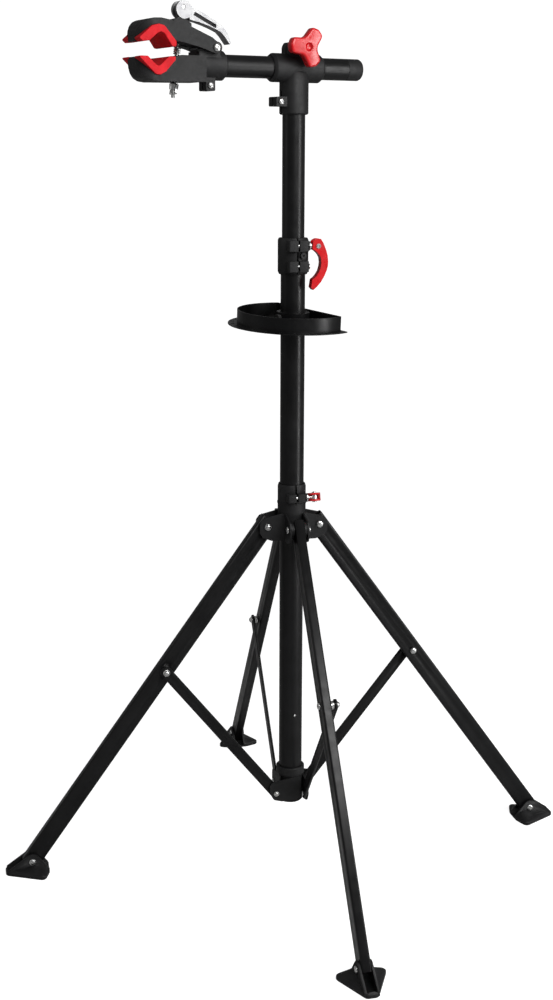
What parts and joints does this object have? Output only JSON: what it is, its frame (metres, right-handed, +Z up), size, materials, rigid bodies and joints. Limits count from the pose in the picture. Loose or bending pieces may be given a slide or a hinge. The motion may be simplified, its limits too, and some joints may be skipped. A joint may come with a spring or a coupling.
{
  "type": "bicycle repair stand",
  "caption": "Folding repair stand: splayed strutted legs on a sliding hub, a telescoping mast with tool tray, and a turning clamp head with padded cam-operated jaws.",
  "frame": {"origin": "on the floor, on the mast's axis", "axes": "+Z up along the mast; one leg along each of -X, -Y, +X and +Y; the clamp arm points 15.8 degrees from -X towards -Y"},
  "size_m": [0.952, 0.952, 1.3499],
  "materials": {
    "coat_black": "black powder coat, slight sheen",
    "plastic_black": "matte moulded",
    "zinc": "bright zinc plated",
    "plastic_red": "glossy moulded",
    "rubber_red": "soft matte",
    "aluminium": "cast, satin"
  },
  "bodies": {
    "mast": {"main_tube": "coat_black", "bottom_bracket": "plastic_black", "mast_end_cap": "plastic_black", "strut_pin_1": "zinc", "strut_pin_2": "zinc", "strut_pin_3": "zinc", "strut_pin_4": "zinc", "upper_collar": "plastic_black", "collar_bolt": "zinc", "collar_screw": "zinc", "tool_tray": "coat_black", "tray_screw": "plastic_black"},
    "strut_1": {"strut_1": "coat_black"},
    "strut_2": {"strut_2": "coat_black"},
    "strut_3": {"strut_3": "coat_black"},
    "strut_4": {"strut_4": "coat_black"},
    "leg_1": {"leg_1": "coat_black", "strut_bolt_1": "zinc", "foot_bolt_1": "zinc"},
    "leg_2": {"leg_2": "coat_black", "strut_bolt_2": "zinc", "foot_bolt_2": "zinc"},
    "leg_3": {"leg_3": "coat_black", "strut_bolt_3": "zinc", "foot_bolt_3": "zinc"},
    "leg_4": {"leg_4": "coat_black", "strut_bolt_4": "zinc", "foot_bolt_4": "zinc"},
    "foot_1": {"foot_1": "plastic_black"},
    "foot_2": {"foot_2": "plastic_black"},
    "foot_3": {"foot_3": "plastic_black"},
    "foot_4": {"foot_4": "plastic_black"},
    "hub": {"leg_hub": "plastic_black", "hub_bolt_1": "zinc", "hub_bolt_2": "zinc", "hub_bolt_3": "zinc", "hub_bolt_4": "zinc", "hub_bolt": "zinc"},
    "hub_lever": {"hub_lever": "plastic_red"},
    "collar_lever": {"collar_lever": "plastic_red"},
    "mast_carriage": {"guide_bush": "plastic_black"},
    "upper_mast": {"upper_tube": "coat_black", "head_tee": "plastic_black", "tee_pinch_bolt": "zinc", "knob_bolt": "zinc"},
    "knob": {"knob": "plastic_red"},
    "arm": {"arm_tube": "coat_black", "arm_end_cap": "plastic_black", "lower_jaw": "plastic_black", "lower_pad": "rubber_red", "clamp_pinch_bolt": "zinc", "jaw_pivot_bolt": "zinc", "rod_spring": "zinc"},
    "jaw": {"upper_jaw": "plastic_black", "upper_pad": "rubber_red", "cam_saddle": "plastic_black"},
    "rod": {"clamp_rod": "zinc"},
    "wing_nut": {"wing_nut": "zinc"},
    "cam_lever": {"cam_lever": "aluminium"}
  },
  "joints": [
    {"name": "leg_fold", "type": "hinge", "parent": "mast", "child": "strut_1", "pos_m": [-0.029, 0, 0.102], "axis": [0, 1, 0], "range_deg": [0, 32.84]},
    {"name": "strut_fold_2", "type": "hinge", "parent": "mast", "child": "strut_2", "pos_m": [0, -0.029, 0.102], "axis": [-1, 0, 0], "range_deg": [0, 32.9]},
    {"name": "strut_fold_3", "type": "hinge", "parent": "mast", "child": "strut_3", "pos_m": [0.029, 0, 0.102], "axis": [0, -1, 0], "range_deg": [0, 32.9]},
    {"name": "strut_fold_4", "type": "hinge", "parent": "mast", "child": "strut_4", "pos_m": [0, 0.029, 0.102], "axis": [1, 0, 0], "range_deg": [0, 32.9]},
    {"name": "leg_pivot_1", "type": "hinge", "parent": "strut_1", "child": "leg_1", "pos_m": [-0.20971, 0, 0.33024], "axis": [0, 1, 0], "range_deg": [-65.8, 0]},
    {"name": "leg_pivot_2", "type": "hinge", "parent": "strut_2", "child": "leg_2", "pos_m": [0, -0.20971, 0.33024], "axis": [-1, 0, 0], "range_deg": [-65.8, 0]},
    {"name": "leg_pivot_3", "type": "hinge", "parent": "strut_3", "child": "leg_3", "pos_m": [0.20971, 0, 0.33024], "axis": [0, -1, 0], "range_deg": [-65.8, 0]},
    {"name": "leg_pivot_4", "type": "hinge", "parent": "strut_4", "child": "leg_4", "pos_m": [0, 0.20971, 0.33024], "axis": [1, 0, 0], "range_deg": [-65.8, 0]},
    {"name": "hub_pivot", "type": "hinge", "parent": "leg_1", "child": "hub", "pos_m": [-0.0426, 0, 0.5616], "axis": [0, 1, 0], "range_deg": [0, 32.9]},
    {"name": "foot_tilt_1", "type": "hinge", "parent": "leg_1", "child": "foot_1", "pos_m": [-0.43302, 0, 0.02105], "axis": [0, 1, 0], "range_deg": [-30, 30]},
    {"name": "foot_tilt_2", "type": "hinge", "parent": "leg_2", "child": "foot_2", "pos_m": [0, -0.43302, 0.02105], "axis": [-1, 0, 0], "range_deg": [-30, 30]},
    {"name": "foot_tilt_3", "type": "hinge", "parent": "leg_3", "child": "foot_3", "pos_m": [0.43302, 0, 0.02105], "axis": [0, -1, 0], "range_deg": [-30, 30]},
    {"name": "foot_tilt_4", "type": "hinge", "parent": "leg_4", "child": "foot_4", "pos_m": [0, 0.43302, 0.02105], "axis": [1, 0, 0], "range_deg": [-30, 30]},
    {"name": "hub_quick_release", "type": "hinge", "parent": "hub", "child": "hub_lever", "pos_m": [0.0307, -0.02462, 0.609], "axis": [0.016, -0.2414, -0.9703], "range_deg": [0, 120]},
    {"name": "collar_quick_release", "type": "hinge", "parent": "mast", "child": "collar_lever", "pos_m": [0.0317, -0.02455, 1.003], "axis": [0.0663, -0.9978, 0], "range_deg": [0, 120]},
    {"name": "mast_slide", "type": "slide", "parent": "mast", "child": "mast_carriage", "axis": [0, 0, 1], "range_m": [-0.175, 0.45]},
    {"name": "mast_turn", "type": "hinge", "parent": "mast_carriage", "child": "upper_mast", "pos_m": [0, 0, 0.44], "axis": [0, 0, 1], "continuous": true},
    {"name": "knob_turn", "type": "hinge", "parent": "upper_mast", "child": "knob", "pos_m": [0, 0, 1.2912], "axis": [0.2723, -0.9622, 0], "continuous": true},
    {"name": "arm_turn", "type": "hinge", "parent": "upper_mast", "child": "arm", "pos_m": [0, 0, 1.263], "axis": [-0.9622, -0.2723, 0], "continuous": true},
    {"name": "jaw_pivot", "type": "hinge", "parent": "arm", "child": "jaw", "pos_m": [-0.13721, -0.03883, 1.2864], "axis": [-0.2723, 0.9622, 0], "range_deg": [0, 7], "deforming": ["rod_spring"]},
    {"name": "rod_pivot", "type": "hinge", "parent": "jaw", "child": "rod", "pos_m": [-0.17868, -0.05056, 1.3407], "axis": [-0.2723, 0.9622, 0], "range_deg": [-3.9, 0]},
    {"name": "wing_nut_turn", "type": "hinge", "parent": "arm", "child": "wing_nut", "pos_m": [-0.19094, -0.05403, 1.23275], "axis": [-0.1128, -0.0319, -0.9931], "continuous": true},
    {"name": "cam_lever_pivot", "type": "hinge", "parent": "rod", "child": "cam_lever", "pos_m": [-0.17868, -0.05056, 1.3407], "axis": [0.2723, -0.9622, 0], "range_deg": [0, 120]}
  ],
  "couplings": [
    {"joint": "strut_fold_2", "follows": "leg_fold", "ratio": 1},
    {"joint": "strut_fold_3", "follows": "leg_fold", "ratio": 1},
    {"joint": "strut_fold_4", "follows": "leg_fold", "ratio": 1},
    {"joint": "leg_pivot_1", "follows": "leg_fold", "ratio": -2},
    {"joint": "leg_pivot_2", "follows": "leg_fold", "ratio": -2},
    {"joint": "leg_pivot_3", "follows": "leg_fold", "ratio": -2},
    {"joint": "leg_pivot_4", "follows": "leg_fold", "ratio": -2},
    {"joint": "hub_pivot", "follows": "leg_fold", "ratio": 1},
    {"joint": "rod_pivot", "follows": "jaw_pivot", "ratio": -0.551}
  ]
}
